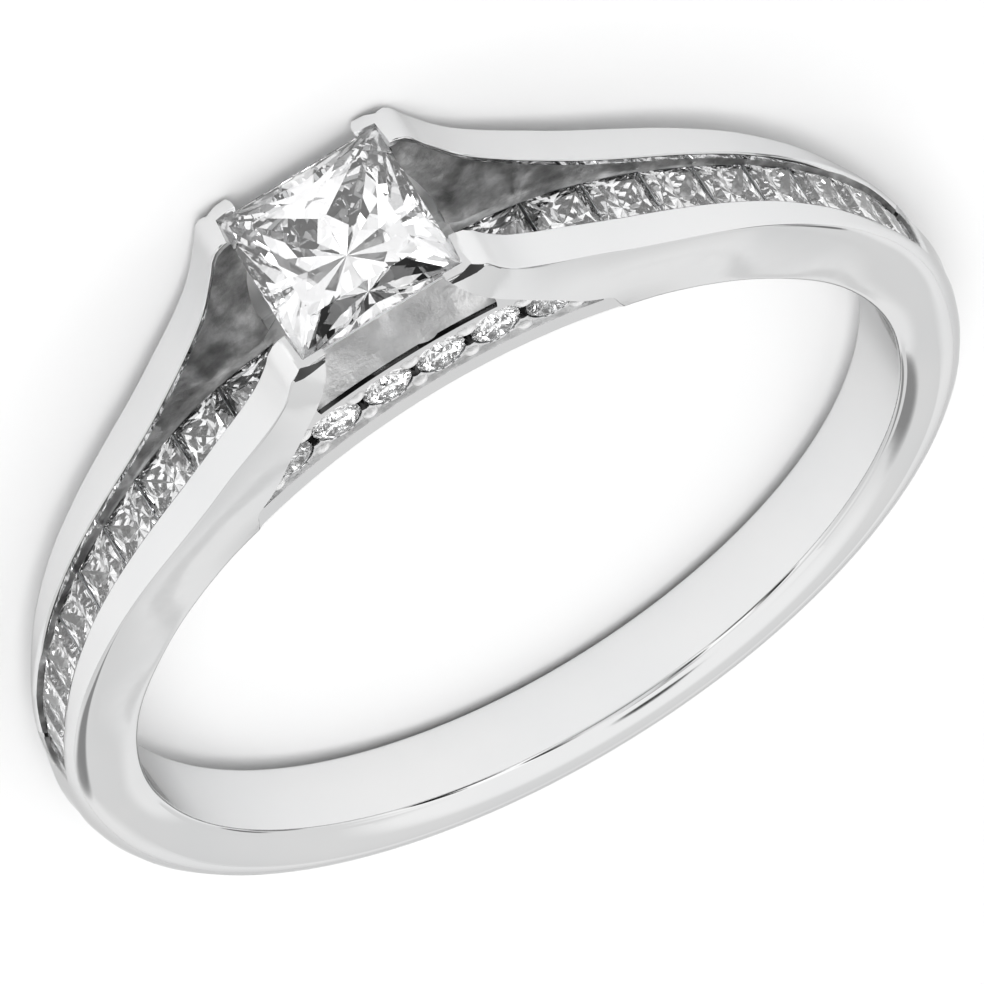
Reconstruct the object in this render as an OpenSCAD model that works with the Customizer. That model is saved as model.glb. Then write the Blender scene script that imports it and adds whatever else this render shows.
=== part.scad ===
// Engagement ring lying on its side: a square stone held by four V claws, split shoulders set with
// a channel of square stones, and an under-bridge set with round stones on both faces.
// All lengths are millimetres. Stations round the ring are angles from the head, 0 to 180 degrees.

/* [Band] */
// Radius of the finger hole
finger_r = 8.25; // [8:0.05:8.5]
// Half width of the under-bridge below the stone
bridge_half = 1.15; // [1.1:0.01:1.2]
// Height of the bridge's top over the finger hole
bridge_h = 1.9; // [1.85:0.05:1.95]
// Width of the bevel where the side faces meet the finger hole
bore_bevel = 0.12; // [0.08:0.01:0.14]

/* [Centre stone] */
// Side of the square centre stone
stone_side = 3.3; // [3.1:0.05:3.35]
// Height of its girdle over the finger hole
girdle_h = 4.7; // [4.6:0.05:4.75]
// Height of its crown over the girdle
stone_crown = 0.36; // [0.3:0.02:0.4]
// Depth of its pavilion under the girdle
stone_pavilion = 2; // [1.8:0.05:2.2]

/* [Shoulder stones] */
// Number of square stones in each shoulder
shoulder_count = 9; // [6:1:9]
// Side of each square stone
small_side = 1.24; // [1.1:0.02:1.26]
// Distance between neighbouring stones, measured along their girdles
small_pitch = 1.3; // [1.28:0.01:1.3]

/* [Bridge stones] */
// Number of round stones on each face of the bridge
bridge_count = 8; // [4:2:8]
// Diameter of each round stone
round_d = 1; // [0.8:0.05:1.04]
// Angle between neighbouring round stones
round_step = 6.93; // [6.9:0.01:7]

/* [Hidden] */

metal_colour = [0.86, 0.87, 0.88];
stone_colour = [0.9, 0.95, 1];
far = 8;                // reach of a cut that leaves the metal outwards
beside = 4;             // reach of a cut that leaves it sideways
overrun = 0.01;         // how far a cut runs into the next one
crest_half = 0.02;      // half width of the flat along the middle of the top
bevel_run = 0.42;       // length of the finger hole's bevel before the hole is cut
stone_gap = 0.03;       // clearance between a stone and its setting

claw_in = 1.45;         // half width of the clear space under the centre stone
claw_lip = 0.08;        // how far the claws reach over the centre stone's edge
leg_end = 1.25;         // where each claw's front leg ends, from the middle
claw_angles = [5.6, 8]; // angles between which a claw's outer face is widest
head_low_h = bridge_h + 0.5;
window_half = 10.6;     // half angle of the open window between bridge and rails
window_low = 0.1;       // height of that window at its ends
window_power = 6;       // how square the window's ends are
window_inner = 9.75;    // half angle of the window's last station before its ends
window_drop = 0.03;     // how much lower the window is than the rails' undersides
split_end = 27.75;      // angle where the rails' undersides reach the finger hole

channel_start = 11;     // angle where the stone channel starts
channel_floor_h = 0.42; // metal left under the shoulder stones
channel_half = 0.6;
channel_least = 0.57;   // its half width where the rails close in and reach over the stones
ledge = 0.02;           // width of the ledge between channel and rail
slot_low = 0.1;         // slot for the girdles, below and above them
slot_high = 0.08;
slot_half = small_side / 2 + stone_gap;
small_crown = 0.13;
small_pavilion = 0.7;
small_sink = 0.02;      // how far the shoulder stones' tables stand under the ledge
tilt_reach = 3;         // angle to each side over which a stone's slope is taken

field_low_h = 0.52;     // recessed field round the bridge stones, heights over the finger hole
field_top_h = 1.72;
field_depth = 0.07;
field_reach = 0.08;     // how far the field is cut clear outside the bridge's face
field_half = 24.4;      // half angle of that field
round_mid_h = 1.12;     // height of the round stones' centres over the finger hole
round_sink = 0.11;      // how far their girdles stand inside the bridge's face

// Cut of the square stones, as shares of their side, of the pavilion and of the half side
square_table = 0.34;
square_belt = 0.008;
knee_depth = 0.52;
knee_corner = 0.48;
knee_mid = 0.61;
// Cut of the round stones, as shares of their diameter
round_table = 0.28;
round_crown = 0.15;
round_belt = 0.015;
round_pavilion = 0.34;
tip_gap = 1.5;          // clearance at a stone's tip, in stone gaps

// Outer shape: angle, half width, height of the top's outer edge, height of the top at mid width,
// how far the corner between top and side is rounded, across and in height,
// and how far the side face stands back where it reaches the finger hole
SHELL = [
    [0, 2.03, 4.86, 5.3, 0.3, 0.22, 0],
    [7, 2.03, 4.86, 5.3, 0.3, 0.22, 0],
    [8, 1.99, 4.82, 5.25, 0.05, 0.05, 0],
    [10, 1.86, 4.3, 4.6, 0.05, 0.05, 0.04],
    [13, 1.72, 3.67, 3.85, 0.05, 0.05, 0.1],
    [16, 1.63, 3.24, 3.35, 0.05, 0.05, 0.16],
    [20, 1.54, 2.82, 2.85, 0.05, 0.05, 0.22],
    [26, 1.45, 2.33, 2.35, 0.05, 0.05, 0.26],
    [32, 1.37, 2.04, 2.06, 0.05, 0.05, 0.22],
    [38, 1.29, 1.86, 1.88, 0.05, 0.05, 0.15],
    [44, 1.22, 1.72, 1.76, 0.06, 0.06, 0.09],
    [56, 1.15, 1.52, 1.56, 0.18, 0.2, 0.05],
    [70, 1.09, 1.4, 1.44, 0.4, 0.42, 0.08],
    [84, 1.12, 1.44, 1.5, 0.7, 0.6, 0.16],
    [98, 1.12, 1.52, 1.56, 0.95, 0.8, 0.24],
    [130, 1.06, 1.6, 1.6, 1, 0.85, 0.24],
    [180, 1, 1.6, 1.6, 0.95, 0.85, 0.2]
];
// Valley between the rails: angle, half width, height of its floor, which carries the stones
VALLEY = [
    [0, 1.12, bridge_h],
    [8, 1.1, bridge_h + 0.02],
    [14, 0.92, 1.97],
    [20, 0.78, 1.95],
    [26, 0.69, 1.83],
    [32, 0.63, 1.7],
    [38, 0.6, 1.58],
    [44, 0.58, 1.49],
    [56, 0.55, 1.39],
    [70, 0.5, 1.33],
    [82, 0.46, 1.3]
];
// Underside of the rails: angle, height over the finger hole
UNDERSIDE = [
    [0, 6],
    [4.4, 5.4],
    [5.4, 4.9],
    [6.6, 4.4],
    [8.1, 3.9],
    [9.8, 3.33],
    [11.7, 2.82],
    [13.7, 2.35],
    [15.9, 1.95],
    [18.6, 1.46],
    [21, 1.13],
    [22.75, 0.95],
    [24.25, 0.82],
    [25.5, 0.58],
    [26.75, 0.28],
    [27.75, 0.1]
];

// Value of one column of a table at an angle, on a smooth curve through its rows
function row_of(t, a, i = 0) = i >= len(t) - 2 || a < t[i + 1][0] ? i : row_of(t, a, i + 1);
function slope(t, c, i) =
    i == 0 || i == len(t) - 1 ? 0
    : let (d0 = (t[i][c] - t[i - 1][c]) / (t[i][0] - t[i - 1][0]),
           d1 = (t[i + 1][c] - t[i][c]) / (t[i + 1][0] - t[i][0]))
      d0 * d1 <= 0 ? 0 : 2 * d0 * d1 / (d0 + d1);
function curve(t, c, angle) =
    let (a = min(max(abs(angle), t[0][0]), t[len(t) - 1][0]),
         i = row_of(t, a),
         w = t[i + 1][0] - t[i][0],
         u = (a - t[i][0]) / w)
    t[i][c] * (1 + 2 * u) * pow(1 - u, 2) + t[i + 1][c] * u * u * (3 - 2 * u)
    + w * (slope(t, c, i) * u * pow(1 - u, 2) - slope(t, c, i + 1) * u * u * (1 - u));

// A point of the ring: angle from the head, height over the finger hole, distance across
function at(a, h, y) = [(finger_r + h) * sin(a), -(finger_r + h) * cos(a), y];
function ring_of(a, section) = [for (p = section) at(a, p[0], p[1])];
function slab(h0, h1, y0, y1, face) =
    face > 0 ? [[h0, y0], [h0, y1], [h1, y1], [h1, y0]] : [[h0, -y1], [h0, -y0], [h1, -y0], [h1, -y1]];
function mirrored(half) = concat(half, [for (i = [len(half) - 1:-1:0]) [half[i][0], -half[i][1]]]);

// Solid through rings of points, closed on itself or with an end face at each end
module swept(rings, closed = false) {
    n = len(rings[0]);
    m = len(rings);
    sides = [for (j = [0:m - (closed ? 1 : 2)]) for (i = [0:n - 1]) for (half = [0, 1])
        let (a = j * n + i, b = j * n + (i + 1) % n,
             c = (j + 1) % m * n + (i + 1) % n, d = (j + 1) % m * n + i)
        half == 0 ? [a, c, b] : [a, d, c]];
    ends = closed ? [] : [[for (i = [0:n - 1]) i], [for (i = [n - 1:-1:0]) (m - 1) * n + i]];
    polyhedron([for (r = rings) each r], concat(sides, ends), convexity = 10);
}

// Angles of the stations between two angles
function stations(from, to, step) =
    let (n = ceil((to - from) / step)) [for (i = [0:n]) from + (to - from) * i / n];

// Half of the outer section: bevel at the finger hole, side in two slopes, rounded corner, top
function shell_half(a) =
    let (w = curve(SHELL, 1, a), top = curve(SHELL, 2, a), mid = curve(SHELL, 3, a),
         ry = curve(SHELL, 4, a), rh = curve(SHELL, 5, a), back = curve(SHELL, 6, a))
    concat(
        [[bore_bevel - bevel_run, w - back - bevel_run], [bore_bevel, w - back],
         [(bore_bevel + top - rh) / 2, w - back / 4]],
        [for (t = [0:22.5:90]) [top - rh * (1 - sin(t)), w - ry * (1 - cos(t))]],
        [[mid, crest_half]]
    );
shell_angles = concat(stations(-176, -44, 4), stations(-40, -8, 2), stations(-7, 7, 2), stations(8, 40, 2),
    stations(44, 180, 4));

module shell() {
    swept([for (a = shell_angles) ring_of(a, mirrored(shell_half(a)))], closed = true);
}

// Space between the rails, over the bridge
module valley() {
    reach = channel_start + 0.1;
    swept([for (a = stations(-reach, reach, 3))
        let (w = curve(VALLEY, 1, a) + overrun, h = curve(VALLEY, 2, a) - overrun)
        ring_of(a, mirrored([[h, w], [far, w]]))]);
}

// Clear space under the rails, outside one face of the bridge
module underside_cut(face) {
    swept([for (a = stations(-split_end, split_end, 1.5))
        let (h = curve(UNDERSIDE, 1, a))
        ring_of(a, slab(-1, h, bridge_half, beside, face))]);
}

// Open window between the bridge's top and the rails beside the centre stone
module window_cut() {
    low = bridge_h + window_low;
    swept([for (a = concat([-window_half], stations(-window_inner, window_inner, 1.5), [window_half]))
        let (open = sqrt(max(0, 1 - pow(a / window_half, window_power))),
             top = low + (curve(UNDERSIDE, 1, a) - window_drop - low) * open)
        ring_of(a, mirrored([[bridge_h, beside], [max(top, low), beside]]))]);
}

// Space for the centre stone: under its girdle, over its girdle, and between the claws' legs
module head_cut() {
    seat = finger_r + girdle_h;
    low = finger_r + head_low_h;
    lip_in = stone_side / 2 - claw_lip;
    translate([-claw_in, -seat, -claw_in])
        cube([2 * claw_in, seat - low, 2 * claw_in]);
    translate([-lip_in, -seat - far, -lip_in])
        cube([2 * lip_in, far, 2 * lip_in]);
    translate([-leg_end, -seat - far, -far])
        cube([2 * leg_end, far + seat - low, 2 * far]);
}

// Place of each shoulder stone: the stones stand one pitch apart along the arc, square to it
function girdle_of(a) = curve(VALLEY, 2, a) - small_sink - small_crown;
function small_angle(i) =
    i <= 0 ? channel_start + (i + 0.5) * small_step(channel_start)
    : small_angle(i - 1) + small_step(small_angle(i - 1));
function small_step(a) = small_pitch / (finger_r + girdle_of(a)) * 180 / PI;
function small_tilt(a) =
    atan((girdle_of(a - tilt_reach) - girdle_of(a + tilt_reach)) * 180 / PI
        / (2 * tilt_reach * (finger_r + girdle_of(a))));

channel_end = small_angle(shoulder_count - 0.5);
channel_angles = stations(channel_start, channel_end, 4);

// Half of the channel's section: pocket under the stones, slot for their girdles, ledge, rail's wall
function channel_half_section(a) =
    let (low = girdle_of(a) - slot_low, high = girdle_of(a) + slot_high, top = curve(VALLEY, 2, a),
         wall = curve(VALLEY, 1, a), w = max(min(channel_half, wall - ledge), channel_least))
    [[channel_floor_h, w], [low, w], [low, slot_half], [high, slot_half], [high, w], [top, w],
     [top, wall], [far, wall]];

module channel_cut(side) {
    path = side > 0 ? channel_angles : [for (i = [len(channel_angles) - 1:-1:0]) -channel_angles[i]];
    swept([for (a = path) ring_of(a, mirrored(channel_half_section(a)))]);
}

// Recessed field round the stones on one face of the bridge
module field_cut(face) {
    section = slab(field_low_h, field_top_h, bridge_half - field_depth, bridge_half + field_reach, face);
    swept([for (a = stations(-field_half, field_half, 3.1)) ring_of(a, section)]);
}

// Square stone on its girdle plane: table, crown, girdle and a pavilion of two slopes a side
module square_cut(side, crown, pavilion, grow = 0) {
    s = side / 2 + grow;
    t = side * square_table;
    belt = side * square_belt + grow;
    z_top = crown + grow;
    z_knee = -pavilion * knee_depth - grow;
    z_tip = -pavilion - grow * tip_gap;
    corners = [[1, 1], [-1, 1], [-1, -1], [1, -1]];
    mids = [[0, 1], [-1, 0], [0, -1], [1, 0]];
    rim = [for (i = [0:3]) each [corners[i], mids[i]]];
    points = concat(
        [for (c = corners) [c[0] * t, c[1] * t, z_top]],
        [for (r = rim) [r[0] * s, r[1] * s, belt]],
        [for (r = rim) [r[0] * s, r[1] * s, -belt]],
        [for (i = [0:7]) let (k = s * (i % 2 == 0 ? knee_corner : knee_mid))
            [rim[i][0] * k, rim[i][1] * k, z_knee]],
        [[0, 0, z_tip]]
    );
    faces = concat(
        [[3, 2, 1, 0]],
        [for (i = [0:3]) each [
            [i, (i + 1) % 4, 5 + 2 * i],
            [i, 5 + 2 * i, 4 + 2 * i],
            [(i + 1) % 4, 4 + (2 * i + 2) % 8, 5 + 2 * i]
        ]],
        [for (i = [0:7]) let (k = (i + 1) % 8) each [
            [4 + i, 4 + k, 12 + k],
            [4 + i, 12 + k, 12 + i],
            [12 + i, 12 + k, 20 + k],
            [12 + i, 20 + k, 20 + i],
            [20 + i, 20 + k, 28]
        ]]
    );
    polyhedron(points, faces);
}

// Round stone on its girdle plane: eight-sided table, crown, girdle and pavilion
module round_cut(d, grow = 0) {
    r = d / 2 + grow;
    n = 8;
    belt = round_belt * d + grow;
    sizes = [[round_table * d, round_crown * d + grow], [r, belt], [r, -belt]];
    points = concat(
        [for (s = sizes) for (i = [0:n - 1])
            [s[0] * cos(360 * (i + 0.5) / n), s[0] * sin(360 * (i + 0.5) / n), s[1]]],
        [[0, 0, -round_pavilion * d - grow * tip_gap]]
    );
    faces = concat(
        [[for (i = [n - 1:-1:0]) i]],
        [for (j = [0, 1]) for (i = [0:n - 1]) let (k = (i + 1) % n) each [
            [j * n + i, j * n + k, (j + 1) * n + k],
            [j * n + i, (j + 1) * n + k, (j + 1) * n + i]
        ]],
        [for (i = [0:n - 1]) [2 * n + i, 2 * n + (i + 1) % n, 3 * n]]
    );
    polyhedron(points, faces);
}

// Puts a stone, drawn with its table up, at an angle and height round the ring, table outwards
module on_ring(a, h) {
    rotate([0, 0, a]) translate([0, -finger_r - h, 0]) rotate([90, 0, 0]) children();
}

// Puts a round stone on one face of the bridge, its table outwards
module on_face(i, face) {
    a = (i - (bridge_count - 1) / 2) * round_step;
    rotate([0, 0, a]) translate([0, -finger_r - round_mid_h, 0])
        rotate([face > 0 ? 0 : 180, 0, 0])
            translate([0, 0, bridge_half - round_sink]) children();
}

// The ring lies on its back face: it touches at its two rear claws and at the back of the band.
// The claws' touching point is where the slope down to the band's is steepest.
half_back = curve(SHELL, 1, 180);
touch_back = finger_r + curve(SHELL, 2, 180) - curve(SHELL, 5, 180);
touch_slopes = [for (a = [claw_angles[0]:0.2:claw_angles[1]])
    (curve(SHELL, 1, a) - half_back) / ((finger_r + curve(UNDERSIDE, 1, a)) * cos(a) + touch_back)];
rest_tilt = atan(max(touch_slopes));
rest_lift = half_back * cos(rest_tilt) + touch_back * sin(rest_tilt);
mid_shift = (girdle_h + stone_crown - curve(SHELL, 3, 180)) / 2 * cos(rest_tilt);

module resting() {
    translate([0, mid_shift, rest_lift]) rotate([-rest_tilt, 0, 0]) children();
}

// Names of the stones
function shoulder_names() =
    [for (s = ["left", "right"]) for (i = [1:shoulder_count]) str("shoulder_stone_", s, "_", i)];
function bridge_names() =
    [for (s = ["front", "back"]) for (i = [1:bridge_count]) str("bridge_stone_", s, "_", i)];

// All the metal, cut from one shell
module cast_metal() {
    difference() {
        shell();
        valley();
        underside_cut(1);
        underside_cut(-1);
        window_cut();
        head_cut();
        channel_cut(1);
        channel_cut(-1);
        field_cut(1);
        field_cut(-1);
        on_ring(0, girdle_h) square_cut(stone_side, stone_crown, stone_pavilion, stone_gap);
        for (face = [1, -1])
            for (i = [0:bridge_count - 1])
                on_face(i, face) round_cut(round_d, stone_gap);
    }
}

module ring_mount() {
    color(metal_colour) resting() difference() {
        resize([0, 0, 0]) cast_metal();
        translate([0, 0, -far]) cylinder(r = finger_r, h = 2 * far, $fn = 180);
    }
}

module centre_stone() {
    color(stone_colour) resting()
        on_ring(0, girdle_h) square_cut(stone_side, stone_crown, stone_pavilion);
}

module shoulder_stone(side, i) {
    a = small_angle(i - 1);
    color(stone_colour) resting()
        on_ring(side * a, girdle_of(a)) rotate([0, side * small_tilt(a), 0])
            square_cut(small_side, small_crown, small_pavilion);
}

module bridge_stone(face, i) {
    color(stone_colour) resting() on_face(i - 1, face) round_cut(round_d);
}

ring_mount();
centre_stone();
for (i = [1:shoulder_count]) {
    shoulder_stone(1, i);
    shoulder_stone(-1, i);
}
for (i = [1:bridge_count]) {
    bridge_stone(1, i);
    bridge_stone(-1, i);
}
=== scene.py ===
"""Looks of an engagement ring that lies on its back face: polished metal, cast inner walls, cut stones.

Shapes are worked out in millimetres in the ring's own frame: the finger hole's axis is Z, the head is
towards -Y. Heights are over the finger hole. resting() then lays each piece down as the solids lie.
"""

import math

import bmesh
import bpy
import numpy as np
from mathutils import Matrix, Vector, noise


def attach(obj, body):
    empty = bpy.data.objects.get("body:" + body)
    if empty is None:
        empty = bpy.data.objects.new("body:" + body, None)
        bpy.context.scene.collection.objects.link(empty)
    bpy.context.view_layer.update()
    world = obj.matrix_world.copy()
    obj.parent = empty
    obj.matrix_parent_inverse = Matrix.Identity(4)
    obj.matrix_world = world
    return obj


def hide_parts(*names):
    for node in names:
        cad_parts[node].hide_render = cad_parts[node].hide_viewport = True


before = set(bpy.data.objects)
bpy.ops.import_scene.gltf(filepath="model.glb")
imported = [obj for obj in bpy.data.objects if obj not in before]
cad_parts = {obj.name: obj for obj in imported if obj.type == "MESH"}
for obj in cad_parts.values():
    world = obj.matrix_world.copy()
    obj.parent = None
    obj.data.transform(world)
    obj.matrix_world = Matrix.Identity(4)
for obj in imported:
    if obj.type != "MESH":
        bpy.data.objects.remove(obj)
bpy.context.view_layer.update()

# Sizes, in millimetres and degrees

FINGER_R = 8.25
BRIDGE_HALF = 1.15
BRIDGE_H = 1.9
BORE_BEVEL = 0.12
STONE_SIDE = 3.3
GIRDLE_H = 4.7
STONE_CROWN = 0.36
STONE_PAVILION = 2.0
SMALL_COUNT = 9
SMALL_SIDE = 1.24
SMALL_PITCH = 1.3
SMALL_CROWN = 0.13
SMALL_PAVILION = 0.7
SMALL_STONE = (SMALL_SIDE, SMALL_CROWN, SMALL_PAVILION)
SMALL_SINK = 0.02
ROUND_COUNT = 8
ROUND_D = 1.0
ROUND_STEP = 6.93
ROUND_H = 1.12
ROUND_SINK = 0.11
STONE_GAP = 0.02

FAR = 8.0
BESIDE = 4.0
CLAW_IN = 1.45
CLAW_LIP = 0.03
LEG_END = 1.25
CLAW_FLARE = 0.4
# Half width of the claws' top, front and back, and the height where their sides start to lean in to it
CLAW_TOP_HALF = {1: 1.83, -1: 1.96}
LEAN_LOW_H = 3.9
# Corners of the facet beside a claw's tip, front and back, in the ring's own frame. The facet's darkness is
# a painted dark reflection
CLAW_FACET = {
    1: ((1.34, -12.97, 1.83), (1.77, -12.987, 1.74), (2.02, -12.826, 1.83)),
    -1: ((1.34, -12.97, 1.95), (1.77, -12.988, 1.86), (2.02, -12.826, 1.93)),
}
FINE_END = 7.5
HEAD_LOW_H = BRIDGE_H + 0.5
WINDOW_HALF = 10.6
SPLIT_END = 28.6
CHANNEL_START = 11.0
TILT_REACH = 3.0
FIELD_LOW_H = 0.52
FIELD_TOP_H = 1.72
FIELD_DEPTH = 0.07
FIELD_HALF = 24.4
EDGE_BEVEL = 0.08
EDGE_DROP = 0.04
RIM_BEVEL = 0.05
ARM_ROUND = 0.3
ARM_SIDE = 2.04
# The ledge beside the shoulder stones: where it starts and is full, its half width, how far it is lower
LEDGE_START = 8.0
LEDGE_FULL = 12.0
LEDGE_HALF = 0.74
LEDGE_DROP = 0.07
CAST_END = 24.0
SEAT_OPEN = 20.0
# Beads beside the bridge stones: height over the stones' middles, half sizes along, across and outwards
GRAINS = [(-0.41, 0.17, 0.1, 0.12), (0.38, 0.2, 0.12, 0.12)]

REST_TILT = 2.75589
REST_LIFT = 1.43157
MID_SHIFT = 1.728

# angle, half width, height of the top's outer edge, of its middle, corner across, corner height,
# and how far the side face stands back at the finger hole
SHELL = np.array([
    [0, 2.03, 4.86, 5.3, 0.05, 0.05, 0],
    [6, 2.03, 4.86, 5.3, 0.05, 0.05, 0],
    [8, 2.0, 4.84, 5.26, 0.05, 0.05, 0.01],
    [9, 1.94, 4.73, 5.08, 0.05, 0.05, 0.02],
    [10, 1.87, 4.42, 4.7, 0.05, 0.05, 0.04],
    [13, 1.72, 3.69, 3.86, 0.05, 0.05, 0.1],
    [16, 1.63, 3.24, 3.35, 0.05, 0.05, 0.16],
    [20, 1.54, 2.82, 2.85, 0.05, 0.05, 0.22],
    [26, 1.45, 2.33, 2.35, 0.05, 0.05, 0.26],
    [32, 1.37, 2.04, 2.06, 0.05, 0.05, 0.22],
    [38, 1.29, 1.86, 1.88, 0.05, 0.05, 0.15],
    [44, 1.22, 1.72, 1.76, 0.06, 0.06, 0.09],
    [56, 1.15, 1.52, 1.56, 0.18, 0.2, 0.05],
    [70, 1.09, 1.4, 1.44, 0.4, 0.42, 0.08],
    [84, 1.12, 1.44, 1.5, 0.7, 0.6, 0.16],
    [98, 1.12, 1.52, 1.56, 0.95, 0.8, 0.24],
    [130, 1.06, 1.6, 1.6, 1.0, 0.85, 0.24],
    [180, 1.0, 1.6, 1.6, 0.95, 0.85, 0.2],
])
# angle, half width between the rails, height of the ledge that carries the shoulder stones
VALLEY = np.array([
    [0, 1.12, 1.9],
    [8, 1.1, 1.92],
    [14, 0.92, 1.97],
    [20, 0.78, 1.95],
    [26, 0.69, 1.83],
    [32, 0.63, 1.7],
    [38, 0.6, 1.58],
    [44, 0.58, 1.49],
    [56, 0.55, 1.39],
    [70, 0.5, 1.33],
    [82, 0.46, 1.3],
])
# angle, height of the rails' underside
UNDERSIDE = np.array([
    [0, 6], [4.4, 5.4], [5.4, 4.9], [6.6, 4.4], [8.1, 3.9], [9.8, 3.33], [11.7, 2.82], [13.7, 2.35],
    [15.9, 1.95], [18.6, 1.46], [21, 1.13], [22.75, 0.95], [24.25, 0.82], [25.5, 0.58], [26.75, 0.28],
    [27.75, 0.1], [28.6, 0.02],
])
# angle, how far the rails' inner top edge is rounded, across and in height
CROWN = np.array([[0, 0.04, 0.04], [46, 0.04, 0.04], [56, 0.08, 0.06], [69, 0.2, 0.1], [82, 0.3, 0.15]])


# Curves and sections

def curve(table, column, angle):
    """Value of a table's column at an angle, on a smooth curve through its rows that never overshoots."""
    x, y = table[:, 0], table[:, column]
    a = min(max(abs(angle), x[0]), x[-1])
    i = min(int(np.searchsorted(x, a, side="right")) - 1, len(x) - 2)
    d = np.diff(y) / np.diff(x)

    def slope(j):
        if j in (0, len(x) - 1) or d[j - 1] * d[j] <= 0:
            return 0.0
        return 2 * d[j - 1] * d[j] / (d[j - 1] + d[j])

    w = x[i + 1] - x[i]
    u = (a - x[i]) / w
    return (y[i] * (1 + 2 * u) * (1 - u) ** 2 + y[i + 1] * u * u * (3 - 2 * u)
            + w * (slope(i) * u * (1 - u) ** 2 - slope(i + 1) * u * u * (1 - u)))


def at(angle, h, y):
    a = math.radians(angle)
    return ((FINGER_R + h) * math.sin(a), -(FINGER_R + h) * math.cos(a), y)


def mirrored(half):
    return list(half) + [(h, -y) for h, y in reversed(half)]


def slab(h0, h1, y0, y1, face):
    if face > 0:
        return [(h0, y0), (h0, y1), (h1, y1), (h1, y0)]
    return [(h0, -y1), (h0, -y0), (h1, -y0), (h1, -y1)]


def steps(start, end, size):
    return np.linspace(start, end, max(2, int(math.ceil(abs(end - start) / size)) + 1))


def crease_height(a, y):
    """Height of the shell's top at a distance across."""
    top, mid = curve(SHELL, 2, a), curve(SHELL, 3, a)
    edge = curve(SHELL, 1, a) - curve(SHELL, 4, a)
    return mid + (top - mid) * min(1.0, abs(y) / edge)


def bore_edge(y):
    """Rounded edge between the finger hole and a side face at a distance across."""
    turn = np.radians([90, 67.5, 45, 22.5, 0])
    return [(BORE_BEVEL * (1 - math.sin(t)), y - BORE_BEVEL * (1 - math.cos(t))) for t in turn]


def side_at(a, h, face):
    """Distance across of one face's side at a height."""
    w, top, height, back = (curve(SHELL, c, a) for c in (1, 2, 5, 6))
    u = min(max((h - BORE_BEVEL) / (top - height - BORE_BEVEL), 0.0), 1.0)
    up = min(max((h - LEAN_LOW_H) / (top - LEAN_LOW_H), 0.0), 1.0)
    lean = max(0.0, w - CLAW_TOP_HALF[face]) * up ** 2
    return w - back * (1 - u) ** 2 - lean


def shell_half(a, face):
    """Half of the ring's outer section, from the finger hole round to the middle of the top."""
    w, top, mid, across, height = (curve(SHELL, c, a) for c in range(1, 6))
    w = min(w, CLAW_TOP_HALF[face]) if top > LEAN_LOW_H else w
    corner = top - height
    half = bore_edge(side_at(a, BORE_BEVEL, face))
    for u in np.linspace(0.1, 1.0, 10):
        h = BORE_BEVEL + (corner - BORE_BEVEL) * u
        half.append((h, side_at(a, h, face)))
    for t in (15, 30, 45, 60, 75):
        s, c = math.sin(math.radians(t)), math.cos(math.radians(t))
        half.append((top - height * (1 - s), w - across * (1 - c)))
    for u in (0.0, 0.25, 0.5, 0.75, 0.97):
        half.append((top + (mid - top) * u, (w - across) * (1 - u)))
    return [(h, face * y) for h, y in half]


SHELL_ANGLES = np.concatenate([
    steps(-180, -84, 1.5)[1:], steps(-84, -12, 1.0)[1:], steps(-12, -FINE_END, 0.5)[1:],
    steps(-FINE_END, FINE_END, 0.75)[1:], steps(FINE_END, 12, 0.5)[1:], steps(12, 84, 1.0)[1:],
    steps(84, 180, 1.5)[1:],
])


def girdle_of(a):
    return curve(VALLEY, 2, a) - SMALL_SINK - SMALL_CROWN


def small_step(a):
    return math.degrees(SMALL_PITCH / (FINGER_R + girdle_of(a)))


def small_angles():
    angles = [CHANNEL_START + 0.5 * small_step(CHANNEL_START)]
    while len(angles) < SMALL_COUNT:
        angles.append(angles[-1] + small_step(angles[-1]))
    return angles


SMALL_ANGLES = small_angles()
CHANNEL_END = SMALL_ANGLES[-1] + 0.5 * small_step(SMALL_ANGLES[-1])


def small_tilt(a):
    rise = girdle_of(a - TILT_REACH) - girdle_of(a + TILT_REACH)
    return math.degrees(math.atan(math.degrees(rise) / (2 * TILT_REACH * (FINGER_R + girdle_of(a)))))


# Meshes

def mesh_object(name, points, faces, materials=(), face_slots=None):
    mesh = bpy.data.meshes.new(name)
    mesh.from_pydata([tuple(p) for p in points], [], [tuple(f) for f in faces])
    for m in materials:
        mesh.materials.append(m)
    if face_slots is not None:
        mesh.polygons.foreach_set("material_index", np.array(face_slots, dtype=np.int32))
    mesh.validate()
    mesh.update()
    piece = bpy.data.objects.new(name, mesh)
    bpy.context.scene.collection.objects.link(piece)
    return piece


def outward(piece):
    bm = bmesh.new()
    bm.from_mesh(piece.data)
    bmesh.ops.recalc_face_normals(bm, faces=bm.faces)
    if bm.calc_volume(signed=True) < 0:
        bmesh.ops.reverse_faces(bm, faces=bm.faces)
    bm.to_mesh(piece.data)
    bm.free()
    return piece


def swept(name, rings, closed=False, materials=(), slot_of=None):
    """Closed solid through rings of points. slot_of(point, ring) gives the material slot of each face."""
    m, n = len(rings), len(rings[0])
    points = [p for ring in rings for p in ring]
    faces, slots = [], []
    for j in range(m if closed else m - 1):
        for i in range(n):
            k = (i + 1) % n
            faces.append((j * n + i, j * n + k, (j + 1) % m * n + k, (j + 1) % m * n + i))
            slots.append(slot_of(i, j) if slot_of else 0)
    if not closed:
        faces += [tuple(range(n)), tuple((m - 1) * n + i for i in reversed(range(n)))]
        slots += [0, 0]
    return outward(mesh_object(name, points, faces, materials, slots))


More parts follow.
